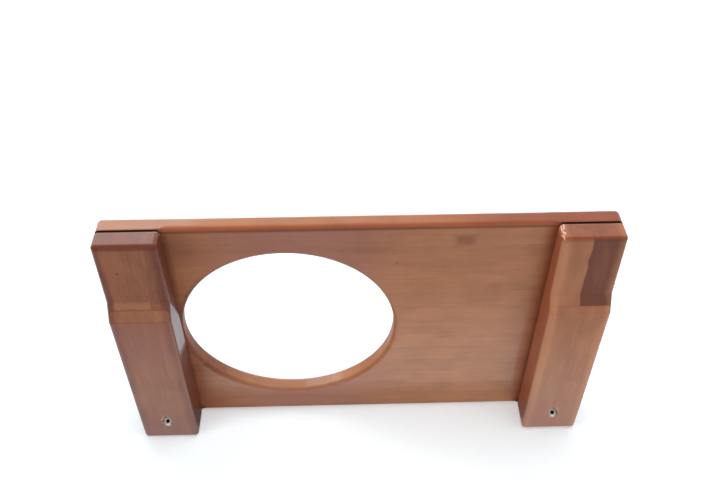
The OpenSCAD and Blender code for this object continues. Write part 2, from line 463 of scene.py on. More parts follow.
def less(tree, mask, share):
    """One, less a share of the mask."""
    return calc(tree, "MULTIPLY_ADD", mask, -share, 1.0)


def swing(tree, value, reach):
    """A value from 0 to 1, turned into a swing by the reach to either side of 0."""
    return calc(tree, "MULTIPLY_ADD", value, 2 * reach, -reach)


def remap(tree, value, low, high, at_low, at_high):
    """Runs softly from one result to another while the value goes from low to high."""
    inputs = {"Value": value, "From Min": low, "From Max": high, "To Min": at_low, "To Max": at_high}
    return put(tree, "MapRange", inputs, interpolation_type="SMOOTHSTEP").outputs[0]


def rise(tree, value, low, high, top=1.0):
    """Rises from 0 to the top."""
    return remap(tree, value, low, high, 0.0, top)


def fall(tree, value, low, high, top=1.0):
    """Falls from the top to 0."""
    return remap(tree, value, low, high, top, 0.0)


def hump(tree, value, start, full, last, end, top=1.0):
    """Rises from the start, stays full up to the last, and falls to 0 at the end."""
    return lowest(tree, rise(tree, value, start, full), fall(tree, value, last, end, top))


def scaled(tree, vector, factors):
    """The vector, with each of its parts times a factor."""
    return put(tree, "VectorMath", {0: vector, 1: factors}, operation="MULTIPLY").outputs[0]


def split(tree, vector):
    """The three parts of a vector."""
    return put(tree, "SeparateXYZ", {0: vector}).outputs


def distance(tree, place, point):
    """How far the place is from a point."""
    return put(tree, "VectorMath", {0: place, 1: point}, operation="DISTANCE").outputs["Value"]


def distance_in_plan(tree, place, x, y):
    """How far the place is from a point, as seen from above."""
    return distance(tree, scaled(tree, place, (1, 1, 0)), (x, y, 0))


def noise(tree, place, scale, detail=2.0, roughness=0.5, jump=ORIGIN):
    """Noise with so many features to the metre on each axis; a jump takes it from elsewhere."""
    vector = put(tree, "VectorMath", {0: place, 1: scale, 2: jump}, operation="MULTIPLY_ADD").outputs[0]
    inputs = {"Vector": vector, "Scale": 1.0, "Detail": detail, "Roughness": roughness}
    return put(tree, "TexNoise", inputs).outputs["Fac"]


def blend(tree, factor, first, second):
    """One number mixed into another."""
    return put(tree, "Mix", {0: factor, 2: first, 3: second}).outputs[0]


def mix(tree, factor, first, second):
    """One colour mixed into another."""
    return put(tree, "Mix", {0: factor, 6: first, 7: second}, data_type="RGBA").outputs[2]


def start_group(name, inputs, outputs):
    """A node group with named sockets: inputs are (name, kind, value), outputs (name, kind)."""
    tree = bpy.data.node_groups.new(name, "ShaderNodeTree")
    for label, kind, value in inputs:
        socket = tree.interface.new_socket(name=label, in_out="INPUT", socket_type="NodeSocket" + kind)
        socket.default_value = value
    for label, kind in outputs:
        tree.interface.new_socket(name=label, in_out="OUTPUT", socket_type="NodeSocket" + kind)
    return tree, tree.nodes.new("NodeGroupInput").outputs, tree.nodes.new("NodeGroupOutput").inputs


def give(tree, results, **values):
    """Links values to the group's results; a low line in a result's name stands for a space."""
    for name, value in values.items():
        tree.links.new(value, results[name.replace("_", " ")])


def make_board_strips():
    """A board pressed from flat strips: a tone for each, a shift for its grain, and the glue lines."""
    tree, given, results = start_group(
        "Board strips", [("Place", "Vector", ORIGIN), ("Strip Width", "Float", 0.02), ("Seed", "Float", 0.0)],
        [("Tone", "Float"), ("Glue Line", "Float"), ("Shift", "Vector")])
    _, across, _ = split(tree, given["Place"])
    waver = swing(tree, noise(tree, given["Place"], STRIP_WAVER), 0.3 * MM)
    rows = calc(tree, "DIVIDE", total(tree, across, waver), given["Strip Width"])
    seed = total(tree, calc(tree, "FLOOR", rows), given["Seed"])
    strip = put(tree, "TexWhiteNoise", {"W": seed}, noise_dimensions="1D").outputs
    share = calc(tree, "PINGPONG", calc(tree, "FRACT", rows), 0.5)
    glue = fall(tree, times(tree, share, given["Strip Width"]), 0.05 * MM, 0.4 * MM)
    give(tree, results, Tone=strip["Value"], Glue_Line=glue, Shift=strip["Color"])
    return tree


def make_bracket_staves():
    """A block glued from two staves over a lower layer, with a tone for each of the three."""
    tree, given, results = start_group(
        "Bracket staves",
        [("Place", "Vector", ORIGIN), ("Joint", "Float", 0.0), ("Layer Joint", "Float", 0.0),
         ("Near Tone", "Float", 0.5), ("Far Tone", "Float", 0.5), ("Lower Tone", "Float", 0.5)],
        [("Tone", "Float"), ("Glue Line", "Float"), ("Shift", "Vector")])
    _, across, height = split(tree, given["Place"])
    waver = swing(tree, noise(tree, given["Place"], STAVE_WAVER, 3.0, 0.6), 2.5 * MM)
    past = calc(tree, "SUBTRACT", total(tree, across, waver), given["Joint"])
    below = calc(tree, "SUBTRACT", given["Layer Joint"], height)
    far = rise(tree, past, -0.4 * MM, 0.4 * MM)
    lower = rise(tree, below, -0.3 * MM, 0.3 * MM)
    upper = less(tree, lower, 1.0)
    tone = blend(tree, far, given["Near Tone"], given["Far Tone"])
    tone = blend(tree, lower, tone, given["Lower Tone"])
    side, level = (fall(tree, calc(tree, "ABSOLUTE", gap), 0.1 * MM, 0.6 * MM) for gap in (past, below))
    glue = highest(tree, times(tree, side, upper), level)
    shift = put(tree, "CombineXYZ", {0: far, 1: lower, 2: times(tree, far, upper)}).outputs[0]
    give(tree, results, Tone=tone, Glue_Line=glue, Shift=shift)
    return tree


def make_fibres():
    """Bamboo's long fibres: fine streaks, broader bands along the grain, and cloudy patches of stain."""
    tree, given, results = start_group(
        "Bamboo fibres",
        [("Place", "Vector", ORIGIN), ("Shift", "Vector", ORIGIN)],
        [("Streaks", "Float"), ("Bands", "Float"), ("Patches", "Float")])
    jump = scaled(tree, given["Shift"], STAVE_JUMP)
    fine = noise(tree, given["Place"], FINE_FIBRES, 3.0, 0.6, jump)
    broad = noise(tree, given["Place"], BROAD_FIBRES, 2.0, 0.5, jump)
    patchy = noise(tree, given["Place"], STAIN_PATCHES, 3.0, 0.55, jump)
    give(tree, results, Streaks=rise(tree, fine, 0.36, 0.64), Bands=rise(tree, broad, 0.3, 0.7),
         Patches=rise(tree, patchy, 0.35, 0.65))
    return tree


def make_knuckle():
    """One knuckle of the cane on one strip: a mottled patch, darker than the wood around it."""
    tree, given, results = start_group(
        "Bamboo knuckle",
        [("Place", "Vector", ORIGIN), ("Centre", "Vector", ORIGIN), ("Half Length", "Float", 0.01),
         ("Half Width", "Float", 0.008)],
        [("Knuckle", "Float")])
    ragged = noise(tree, given["Place"], KNUCKLE_MOTTLE, 3.0, 0.65)
    along, across, _ = split(tree, given["Place"])
    middle_along, middle_across, _ = split(tree, given["Centre"])
    along = calc(tree, "DIVIDE", apart(tree, along, middle_along), given["Half Length"])
    across = calc(tree, "DIVIDE", apart(tree, across, middle_across), given["Half Width"])
    reach = total(tree, highest(tree, along, across), swing(tree, ragged, 0.7))
    mottled = remap(tree, ragged, 0.3, 0.7, 0.5, 1.0)
    give(tree, results, Knuckle=times(tree, fall(tree, reach, 0.3, 1.25), mottled))
    return tree


def make_varnish():
    """What brush and dust leave in a coat of varnish: soft waves, and places that are duller."""
    tree, given, results = start_group(
        "Varnish coat", [("Place", "Vector", ORIGIN)], [("Waves", "Float"), ("Dullness", "Float")])
    waves = noise(tree, given["Place"], VARNISH_WAVES)
    dust = noise(tree, given["Place"], VARNISH_DUST, 4.0, 0.6)
    give(tree, results, Waves=waves, Dullness=rise(tree, dust, 0.35, 0.7))
    return tree


def make_groove_shadow():
    """A mask of painted shadow in the groove where the board meets a bracket, most at the front; it also
    takes away most of the varnish's coat there.
    """
    tree, given, results = start_group(
        "Groove shadow",
        [("Place", "Vector", ORIGIN), ("Height", "Float", 0.0), ("Reach", "Float", 0.002),
         ("Inner End", "Float", 0.0), ("Front", "Float", 0.0)],
        [("Stain", "Float")])
    x, y, z = split(tree, given["Place"])
    near = fall(tree, calc(tree, "DIVIDE", apart(tree, z, given["Height"]), given["Reach"]), 0.3, 1.0)
    past = calc(tree, "SUBTRACT", calc(tree, "ABSOLUTE", x), given["Inner End"])
    over = rise(tree, past, MM, 3 * MM)
    front = remap(tree, calc(tree, "SUBTRACT", y, given["Front"]), 3 * MM, 7 * MM, 1.0, 0.15)
    give(tree, results, Stain=times(tree, near, over, front))
    return tree


def make_tool_marks():
    """Fine tool marks and tarnish in plated metal."""
    tree, given, results = start_group(
        "Tool marks", [("Place", "Vector", ORIGIN)], [("Marks", "Float"), ("Tarnish", "Float")])
    marks = noise(tree, given["Place"], METAL_MARKS)
    tarnish = noise(tree, given["Place"], METAL_TARNISH, 4.0, 0.6)
    give(tree, results, Marks=marks, Tarnish=rise(tree, tarnish, 0.4, 0.75))
    return tree


BOARD_STRIPS = make_board_strips()
BRACKET_STAVES = make_bracket_staves()
FIBRES = make_fibres()
KNUCKLE = make_knuckle()
VARNISH = make_varnish()
GROOVE_SHADOW = make_groove_shadow()
TOOL_MARKS = make_tool_marks()


# Materials

def start_material(name):
    """A material with its node tree, its shader, and the place in metres that its textures read."""
    material = bpy.data.materials.new(name)
    material.use_nodes = True
    tree = material.node_tree
    shader = tree.nodes["Principled BSDF"]
    place = put(tree, "TexCoord").outputs["Object"]
    return material, tree, shader, place


def along_grain(tree, place, order):
    """The place with its axes in another order, so that the first runs along the grain."""
    parts = split(tree, place)
    return put(tree, "CombineXYZ", {i: parts["XYZ".index(axis)] for i, axis in enumerate(order)}).outputs[0]


def link_surface(tree, shader, colour, rough, height, bumps, deep):
    """Gives the shader its colour and roughness, and bumps of a strength and depth."""
    bump = put(tree, "Bump", {"Height": height, "Strength": bumps, "Distance": deep}).outputs[0]
    feed(tree, shader, {"Base Color": colour, "Roughness": rough, "Normal": bump})


def stained_bamboo(tree, shader, place, grain, staves, marks, shade, tone_share, groove_reach,
                   dull=0.0, red=0.0, sheen_tint=0.0, glints=0.0):
    """Brown-stained bamboo under varnish. The masks say where it is marked darker, where shade, sheen and
    highlight are painted, where it is dull and where red; the share is how much the staves' own tones show."""
    fibres = use(tree, FIBRES, Place=grain, Shift=staves["Shift"])
    varnish = use(tree, VARNISH, Place=grain)
    groove = use(tree, GROOVE_SHADOW, Place=place, Height=UNDERSIDE, Reach=groove_reach,
                 Inner_End=INNER_X, Front=FRONT)["Stain"]
    shares = ((staves["Tone"], tone_share), (fibres["Bands"], BAND_SHARE), (fibres["Streaks"], STREAK_SHARE),
              (fibres["Patches"], PATCH_SHARE), (staves["Glue Line"], GLUE_SHARE))
    tone = total(tree, *(times(tree, value, share) for value, share in shares))
    tone = calc(tree, "ADD", tone, marks, clamp=True)
    soaked = highest(tree, put(tree, "Attribute", attribute_name="edge").outputs["Fac"], red)
    colour = mix(tree, sheen_tint, mix(tree, tone, PALE, DEEP), SHEEN_TINT)
    colour = mix(tree, soaked, colour, mix(tree, tone, RED_STAIN, DEEP_RED_STAIN))
    colour = mix(tree, shade, colour, WARM_SHADE)
    # Painted shadow in the groove under the board
    colour = mix(tree, groove, colour, GROOVE_SHADOW_COLOUR)
    # Painted highlight: pale flecks
    colour = mix(tree, glints, colour, GLINT_PALE)
    rough = blend(tree, varnish["Dullness"], *VARNISH_ROUGH)
    height = calc(tree, "MULTIPLY_ADD", fibres["Streaks"], -0.2, varnish["Waves"])
    height = calc(tree, "MULTIPLY_ADD", staves["Glue Line"], -0.3, height)
    link_surface(tree, shader, colour, rough, height, bumps=0.2, deep=0.2 * MM)
    coat = times(tree, less(tree, groove, 0.9), less(tree, dull, 0.9))
    feed(tree, shader, {"Specular IOR Level": 0.15, "Coat Weight": coat, "Coat Roughness": 0.1,
                        "Coat IOR": 1.4})


def knuckle(tree, grain, centre, half_length, half_width, strength):
    """A knuckle that darkens the grain; half its length and width are in mm."""
    spot = use(tree, KNUCKLE, Place=grain, Centre=centre, Half_Length=half_length * MM,
               Half_Width=half_width * MM)
    return times(tree, spot["Knuckle"], strength)


def pin_knot(tree, place, centre):
    """A dark dot where a bud of the cane was cut through."""
    return fall(tree, distance(tree, place, centre), 0.4 * MM, 1.5 * MM, 0.6)


def board_marks(tree, place, under, left_rim):
    """Knuckles and a pin knot; painted shade along the front of the left half and on the hole's left wall;
    the front face darker toward its right end.
    """
    x, y, _ = split(tree, place)
    along_front = fall(tree, y, FRONT + 20 * MM, FRONT + 50 * MM, 0.22)
    left_half = remap(tree, x, -20 * MM, 90 * MM, 1.0, 0.2)
    front_face = fall(tree, y, FRONT + MM, FRONT + 3 * MM)
    right_end = rise(tree, x, 40 * MM, 130 * MM, 0.35)
    # Painted shade: along the front of the left half, and on the hole's left wall
    marks = [times(tree, along_front, left_half, under), times(tree, front_face, right_end),
             times(tree, left_rim, 0.6), pin_knot(tree, place, BOARD_PIN_KNOT)]
    for middle_x, middle_y, *size in BOARD_KNUCKLES:
        marks.append(knuckle(tree, place, (middle_x * MM, middle_y * MM, UNDERSIDE), *size))
    return total(tree, *marks)


def board_shade(tree, place, under, left_bracket_shadow):
    """Painted shade beside the brackets, under the left bracket's shadow and in the corners at the wall, and
    the front rounding's dark line.
    """
    x, y, z = split(tree, place)
    aside = calc(tree, "ABSOLUTE", x)
    joint = rise(tree, aside, INNER_X - 6 * MM, INNER_X, 0.45)
    corner = times(tree, rise(tree, aside, INNER_X - 9 * MM, INNER_X - MM),
                   rise(tree, y, -16 * MM, -4 * MM, 0.9))
    joint_shade = highest(tree, times(tree, left_bracket_shadow, 0.75), joint, corner)
    turning = hump(tree, y, FRONT + 1.5 * MM, FRONT + 4.2 * MM, FRONT + 4.2 * MM, FRONT + 7 * MM)
    low = fall(tree, z, UNDERSIDE + 2 * MM, UNDERSIDE + 3 * MM, 0.7)
    return highest(tree, times(tree, joint_shade, under), times(tree, turning, low))


def board_bamboo():
    """The board's strips, with its marks and stains, and the painted shade and sheen of its underside."""
    material, tree, shader, place = start_material("board bamboo")
    strips = use(tree, BOARD_STRIPS, Place=place, Strip_Width=STRIP_W, Seed=STRIP_SEED)
    x, y, z = split(tree, place)
    under = fall(tree, z, UNDERSIDE + MM, UNDERSIDE + 2 * MM)
    radius = distance_in_plan(tree, place, HOLE_X, HOLE_Y)
    rim = fall(tree, radius, HOLE_R + RIM_R * 0.5, HOLE_R + RIM_R * 1.5)
    left_rim = times(tree, rim, fall(tree, x, HOLE_X - 105 * MM, HOLE_X - 20 * MM))
    right_rim = times(tree, rim, rise(tree, x, HOLE_X + 40 * MM, HOLE_X + 70 * MM))
    # Painted shadow that the left bracket casts on the board to its right, toward the wall
    left_bracket_shadow = times(tree, fall(tree, x, -INNER_X, -INNER_X + 32 * MM, 0.4),
                        rise(tree, y, -170 * MM, -80 * MM))
    dull = highest(tree, left_rim, right_rim, times(tree, left_bracket_shadow, 2.0, under))
    # Red beside the brackets, partly stain and partly painted shade
    red = highest(tree, rise(tree, x, INNER_X - 14 * MM, INNER_X, 0.7), left_bracket_shadow,
                  fall(tree, x, -INNER_X, -INNER_X + 70 * MM, 0.3))
    # Painted sheen: a mauve tint on the underside around and below the hole
    sheen_tint = fall(tree, apart(tree, x, -55 * MM), 20 * MM, 110 * MM, 0.4)
    stained_bamboo(tree, shader, place, place, strips, board_marks(tree, place, under, left_rim),
                   board_shade(tree, place, under, left_bracket_shadow), tone_share=0.15, groove_reach=0.35 * MM,
                   dull=dull, red=times(tree, red, under), sheen_tint=times(tree, sheen_tint, under))
    return material


def bracket_marks(tree, place, grain, block_x, wood, stave_tone):
    """A faint knuckle and a pin knot, a tone along the underside's long edges, sawn ends and end grain."""
    x, y, z = split(tree, place)
    beside, middle_y, *size = BRACKET_KNUCKLE
    spot = knuckle(tree, grain, (middle_y * MM, block_x + beside * MM, UNDERSIDE - WALL_H), *size)
    ragged = swing(tree, noise(tree, place, RAGGED_STAIN), 3 * MM)
    aside = total(tree, apart(tree, x, block_x), ragged)
    edges = rise(tree, aside, BLOCK_W / 2 - 10 * MM, BLOCK_W / 2 - 3 * MM)
    sawn = times(tree, lowest(tree, rise(tree, y, STEP_Y - 2 * MM, STEP_Y - MM),
                              rise(tree, z, wood["layer joint"] + 0.4 * MM, wood["layer joint"] + 0.9 * MM)),
                 fall(tree, apart(tree, x, block_x - 5 * MM), 15.5 * MM, 17 * MM))
    tip = fall(tree, y, FRONT + 0.5 * MM, FRONT + 2.5 * MM)
    return total(tree, spot, pin_knot(tree, place, BRACKET_PIN_KNOT),
                 times(tree, edges, wood["long edges"]), times(tree, sawn, wood["sawn ends"]),
                 times(tree, tip, calc(tree, "SUBTRACT", wood["end tone"], stave_tone)))


def bracket_shade(tree, place, flank, wood):
    """Painted shade: on the flanks, in the corner with the board and the wall, on the front's lower edge, and
    toward the wall.
    """
    _, y, z = split(tree, place)
    close = remap(tree, z, UNDERSIDE - 9 * MM, UNDERSIDE - MM, wood["flank shade"], wood["flank shade"] + 0.2)
    close = times(tree, close, remap(tree, y, *TOWARD_WALL, 1.0, 0.5))
    corner = times(tree, rise(tree, y, -14 * MM, -3 * MM, 0.9),
                   rise(tree, z, UNDERSIDE - 10 * MM, UNDERSIDE - 2 * MM))
    turning = hump(tree, y, FRONT, FRONT + 1.5 * MM, FRONT + 3.7 * MM, FRONT + 6 * MM, wood["front shade"])
    low = fall(tree, z, UNDERSIDE - TIP_H + 2 * MM, UNDERSIDE - TIP_H + 4 * MM)
    return highest(tree, times(tree, flank, close), times(tree, flank, corner), times(tree, turning, low),
                   rise(tree, y, *TOWARD_WALL, wood["wall shade"]))


def corner_glints(tree, place, corner_x, foot):
    """Pale flecks down the inner front corner, fewer toward their foot: a painted highlight, shaped like
    chipped varnish.
    """
    _, _, z = split(tree, place)
    away = distance_in_plan(tree, place, corner_x, FRONT + 1.2 * MM)
    away = total(tree, away, times(tree, calc(tree, "SUBTRACT", foot, z), 0.1))
    flecks = rise(tree, noise(tree, place, GLINT_FLECKS, 3.0, 0.7), 0.52, 0.6)
    return times(tree, fall(tree, away, MM, 2.4 * MM, 0.8), flecks, rise(tree, z, foot - 2 * MM, foot))


def bracket_bamboo(side, block_x, wood):
    """A bracket's staves with their tones, marks and stains, and the painted shade, sheen and highlight on
    them.
    """
    material, tree, shader, place = start_material(f"{side} bracket bamboo")
    grain = along_grain(tree, place, "YXZ")
    staves = use(tree, BRACKET_STAVES, Place=grain, Joint=wood["joint"], Layer_Joint=wood["layer joint"],
                 Near_Tone=wood["near tone"], Far_Tone=wood["far tone"], Lower_Tone=wood["lower tone"])
    x, y, _ = split(tree, place)
    flank = rise(tree, apart(tree, x, block_x), BLOCK_W / 2 - MM, BLOCK_W / 2 - 0.2 * MM)
    # Painted sheen on the heel's underside
    heel = hump(tree, y, HEEL_Y - 3.5 * MM, HEEL_Y + 2.5 * MM, -150 * MM, -90 * MM)
    # The red that grows toward the wall is partly painted shade
    stained_bamboo(tree, shader, place, grain, staves,
                   bracket_marks(tree, place, grain, block_x, wood, staves["Tone"]),
                   bracket_shade(tree, place, flank, wood), tone_share=1.0, groove_reach=MM,
                   dull=times(tree, flank, 0.4), red=remap(tree, y, *TOWARD_WALL, wood["red"], 0.35),
                   sheen_tint=times(tree, heel, wood["heel sheen"]),
                   glints=corner_glints(tree, place, SIDES[side] * (INNER_X + 1.2 * MM), wood["glint foot"]))
    return material


def bare_wood(name, order, colours, rough, bumps, deep):
    """Wood without stain or varnish: two tones in bands, and dark streaks that are rougher."""
    material, tree, shader, place = start_material(name)
    fibres = use(tree, FIBRES, Place=along_grain(tree, place, order))
    pale, dark, streaked = colours
    colour = mix(tree, fibres["Bands"], pale, dark)
    colour = mix(tree, times(tree, fibres["Streaks"], 0.3), colour, streaked)
    rough = blend(tree, fibres["Streaks"], *rough)
    link_surface(tree, shader, colour, rough, fibres["Streaks"], bumps, deep)
    return material


def plated_metal(name, colours, rough):
    """Zinc-plated steel with tool marks, a little tarnish, and painted shade where the edge value is set,
    deep in a socket.
    """
    material, tree, shader, place = start_material(name)
    marks = use(tree, TOOL_MARKS, Place=place)
    socket_shade = put(tree, "Attribute", attribute_name="edge").outputs["Fac"]
    colour = mix(tree, socket_shade, mix(tree, marks["Tarnish"], *colours), SOCKET_SHADE)
    rough = blend(tree, marks["Tarnish"], *rough)
    link_surface(tree, shader, colour, rough, marks["Marks"], bumps=0.2, deep=0.1 * MM)
    feed(tree, shader, {"Metallic": METAL_SHARE})
    return material


# Board

def free_share(x):
    """How far the board's lower edge is rounded at x: fully between the brackets, not above them."""
    share = min(1.0, max(0.0, (INNER_X + RUN_OUT / 2 - abs(x)) / RUN_OUT))
    return share * share * (3 - 2 * share)


def board_side_stain(x):
    """The stain in the board's side faces, which lies heavier toward the right end."""
    light, heavy = SIDE_STAIN
    return light + (heavy - light) * min(1.0, max(0.0, MIDDLE_SHARE + x / HALF_L))


def board_outline():
    """Points with normals along the board's outline, so close together that the rounding can run out."""
    arcs = rounded_outline(rectangle(-HALF_L, FRONT, HALF_L, 0), EDGE_R)
    found = []
    for i, (point, normal, _) in enumerate(arcs):
        found.append((point, normal))
        gap = arcs[(i + 1) % len(arcs)][0] - point
        pieces = math.ceil(gap.length / OUTLINE_STEP) if gap.length > EDGE_R else 1
        for k in range(1, pieces):
            found.append((point + gap * k / pieces, normal))
    return found


def flat_loop(outline, shares, rim, height):
    """The outline on a flat face, pulled in by a share of the rounding and by the rim."""
    loop = []
    for (point, _), share in zip(outline, shares):
        margin = share * EDGE_R + rim
        x = max(margin - HALF_L, min(HALF_L - margin, point.x))
        y = max(FRONT + margin, min(-margin, point.y))
        loop.append(((x, y, height), 0.0))
    return loop


def edge_loops(outline, shares, face, up):
    """Loops over the board's rounding, from its side to a face; a share under 1 flattens it."""
    loops = []
    for k, (inset, drop, stain) in enumerate(rounding(EDGE_R)):
        loop = []
        for (point, normal), share in zip(outline, shares):
            place = point - normal * inset * share
            side = board_side_stain(point.x) * max(1 - share, 1 - k / ROUND_STEPS)
            loop.append(((*place, face + up * drop * share), max(share * stain, side)))
        loops.append(loop)
    return loops


def make_board(material):
    """The board as one skin: underside, sides, top and the hole's wall, with every rounding."""
    outline = board_outline()
    whole = [1.0] * len(outline)
    shares = [free_share(point.x) if abs(normal.y) > 0.999 else 0.0 for point, normal in outline]
    loops = [flat_loop(outline, whole, 2 * FLAT_RIM, UNDERSIDE),
             flat_loop(outline, shares, FLAT_RIM, UNDERSIDE)]
    loops += reversed(edge_loops(outline, shares, UNDERSIDE, 1))
    loops += edge_loops(outline, whole, TOP, -1)
    loops.append(flat_loop(outline, whole, FLAT_RIM, TOP))
    hole = Vector((HOLE_X, HOLE_Y))
    spokes = [(point - hole).normalized() for point, _ in outline]
    rim = [*rounding(RIM_R, RIM_STAIN, RIM_EDGE_STAIN), (RIM_R + FLAT_RIM, 0, 0)]
    stations = [(TOP - drop, inset, stain) for inset, drop, stain in reversed(rim)]
    stations += [(UNDERSIDE + drop, inset, stain) for inset, drop, stain in rim]
    for height, inset, stain in stations:
        loops.append([((*(hole + spoke * (HOLE_R + inset)), height), stain) for spoke in spokes])
    return skin("board", loops, material, ring=True)


# Brackets

def bracket_outline(step_stain):
    """The bracket from its side, with y along the first axis and z along the second."""
    corners = [(FRONT, 0), (FRONT, -TIP_H), (STEP_Y, -NOSE_H), (HEEL_Y, -HEEL_H), (0, -WALL_H), (0, 0)]
    found = []
    for point, normal, stain in rounded_outline([Vector((y, UNDERSIDE + z)) for y, z in corners],
                                                BRACKET_R, STEP_R):
        if point.x < FRONT + MM and normal.x < -0.99:
            stain = max(stain, END_STAIN)
        if STEP_Y - STEP_R < point.x < HEEL_Y + STEP_R:
            stain *= step_stain
        found.append((point, normal, stain))
    return found


def make_bracket(name, block_x, material, step_stain):
    """A bracket as one skin across its width, with every edge rounded."""
    outline = bracket_outline(step_stain)
    quarter = rounding(BRACKET_R, stain=LONG_EDGE_STAIN)
    quarter[-1] = (*quarter[-1][:2], FLANK_STAIN)
    stations = [(-BLOCK_W / 2 + drop, inset, stain) for inset, drop, stain in reversed(quarter)]
    stations += [(BLOCK_W / 2 - drop, inset, stain) for inset, drop, stain in quarter]
    loops = []
    for across, inset, stain in stations:
        loop = []
        for point, normal, corner_stain in outline:
            place = point - normal * inset
            loop.append(((block_x + across, place.x, place.y), max(stain, corner_stain)))
        loops.append(loop)
    return skin(name, loops, material)


# Places and bores of the hardware

def lock_place(x):
    """Local z runs up the set screw's bore from the middle of its mouth."""
    mouth = UNDERSIDE - WALL_H + (WALL_H - HEEL_H) * LOCK_Y / HEEL_Y
    return Matrix.Translation((x, LOCK_Y, mouth)) @ Matrix.Rotation(LOCK_TILT - math.pi / 2, 4, "X")


def rod_place(x):
    """Local z runs along the hanger rod, away from the wall."""
    return Matrix.Translation((x, 0, ROD_Z)) @ Matrix.Rotation(math.pi / 2, 4, "X")


def wall_hole_places(x):
    """Local z runs out of the wall through each of the plate's screw holes."""
    return [rod_place(x) @ Matrix.Translation((sign * WALL_HOLE_PITCH / 2, 0, 0)) for sign in SIDES.values()]


def plate_outline(spare=0.0):
    """The wall plate's outline round the rod, with room to spare."""
    half_w = PLATE_W / 2 + spare
    half_h = PLATE_H / 2 + spare
    return rounded_outline(rectangle(-half_w, -half_h, half_w, half_h), PLATE_R + spare)


def dowel_bores(side):
    """A bore for each dowel, a little longer and wider than it."""
    tools = []
    for i in range(1, DOWELS + 1):
        low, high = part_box(f"{side}_dowel_{i}")
        middle = (low + high) / 2
        place = Matrix.Translation((middle.x, middle.y, 0))
        tools.append(bore((high.x - low.x) / 2 + DOWEL_GAP, low.z - DOWEL_SPARE, high.z + DOWEL_SPARE, place))
    return tools


def hanger_cutters(x):
    """The rod's bore, the wall plate's pocket with its screw head reliefs, and the set screw's bore."""
    pocket = PLATE_T + PLATE_GAP
    tools = [bore(ROD_R + ROD_GAP, -PAST, ROD_END + ROD_SPARE, rod_place(x)),
             prism_cutter([p for p, _, _ in plate_outline(PLATE_GAP)], -PAST, pocket, rod_place(x))]
    for place in wall_hole_places(x):
        tools.append(bore(HEAD_R, -PAST, pocket + HEAD_H, place))
    lock = lock_place(x)
    rod_reach = (ROD_Z - ROD_R - lock.translation.z) / math.sin(LOCK_TILT)
    tools.append(bore(LOCK_R, -2 * LOCK_R, INSERT_IN + INSERT_L, lock))
    tools.append(bore(SCREW_R + SCREW_GAP, 0, rod_reach, lock))
    return tools


# Hardware

def thread_radius(angle, height, pitch, crest, root):
    """The radius of a V thread at an angle and height."""
    share = abs((height / pitch - angle / math.tau) % 1.0 - 0.5) * 2
    return crest - (crest - root) * share


def thread_loops(place, length, pitch, crest, root):
    """Loops up a V thread, bevelled to its root at both ends."""
    loops = []
    rows = round(length / pitch * THREAD_STEPS)
    for k in range(rows + 1):
        height = length * k / rows
        bevel = root + min(height, length - height)
        ring = ring_of(place, height, lambda t: min(bevel, thread_radius(t, height, pitch, crest, root)))
        loops.append(ring)
    return loops


def hexagon_radius(angle, flats):
    """Distance from the middle of a hexagon to its side, in the direction of the angle."""
    return flats / 2 / math.cos((angle + math.pi / 6) % (math.pi / 3) - math.pi / 6)


def make_set_screw(name, x, material):
    """A set screw with a cut thread, a bevelled dog point, and a hexagonal socket painted dark as shade."""
    place = lock_place(x) @ Matrix.Translation((0, 0, SCREW_IN))
    body = SCREW_L - DOG_L
    loops = [ring_of(place, SOCKET_DEEP + SOCKET_W / 4, lambda t: 0.0, socket_shade=1.0)]
    # Painted shade: darkest at the socket's bottom, fading out toward its mouth
    for height, spare in ((SOCKET_DEEP, 0), (SOCKET_LIP, 0), (SOCKET_BEVEL, 0), (0, SOCKET_BEVEL)):
        socket_shade = min(1.0, height / MM)
        loops.append(ring_of(place, height, lambda t: hexagon_radius(t, SOCKET_W) + spare, socket_shade=socket_shade))
    loops += thread_loops(place, body, SCREW_PITCH, SCREW_R, SCREW_ROOT_R)
    for radius, height in ((DOG_R, body), (DOG_R, SCREW_L - DOG_BEVEL), (DOG_R - DOG_BEVEL, SCREW_L)):
        loops.append(ring_of(place, height, lambda t: radius))
    return skin(name, loops, material)


def make_insert(name, x, material):
    """A threaded insert: a wood thread outside, a plain bore inside, and a slot across its mouth."""
    place = lock_place(x) @ Matrix.Translation((0, 0, INSERT_IN))
    loops = thread_loops(place, INSERT_L, INSERT_PITCH, INSERT_R, INSERT_ROOT_R)
    wide = INSERT_BORE_R + INSERT_BEVEL
    for radius, height in ((wide, INSERT_L), (INSERT_BORE_R, INSERT_L - INSERT_BEVEL),
                           (INSERT_BORE_R, INSERT_BEVEL), (wide, 0)):
        loops.append(ring_of(place, height, lambda t: radius))
    insert = skin(name, loops, material, ring=True)
    slot = rectangle(-SLOT_REACH, -SLOT_W / 2, SLOT_REACH, SLOT_W / 2)
    cut(insert, [prism_cutter(slot, -PAST, SLOT_DEEP, place)], material)
    work = bmesh.new()
    work.from_mesh(insert.data)
    bmesh.ops.triangulate(work, faces=work.faces)
    work.to_mesh(insert.data)
    work.free()
    return insert


def make_plate(name, x, material):
    """The wall plate with softened edges, countersunk screw holes and the rod's riveted spigot hole."""
    rod = rod_place(x)
    edge = rounding(PLATE_EDGE_R)
    stations = [(drop, inset) for inset, drop, _ in reversed(edge)]
    stations += [(PLATE_T - drop, inset) for inset, drop, _ in edge]
    loops = []
    for height, inset in stations:
        loops.append([(rod @ Vector((*(p - n * inset), height)), 0.0) for p, n, _ in plate_outline()])
    plate = skin(name, loops, material)
    sink = PLATE_T - (COUNTERSINK_R - WALL_HOLE_R)
    profile = [(WALL_HOLE_R, -PAST), (WALL_HOLE_R, sink), (COUNTERSINK_R + PAST, PLATE_T + PAST)]
    holes = [turned_cutter(profile, place) for place in wall_hole_places(x)]
    cut(plate, [bore(SPIGOT_R, -PAST, PLATE_T + PAST, rod), *holes], material)
    return plate


# Studio

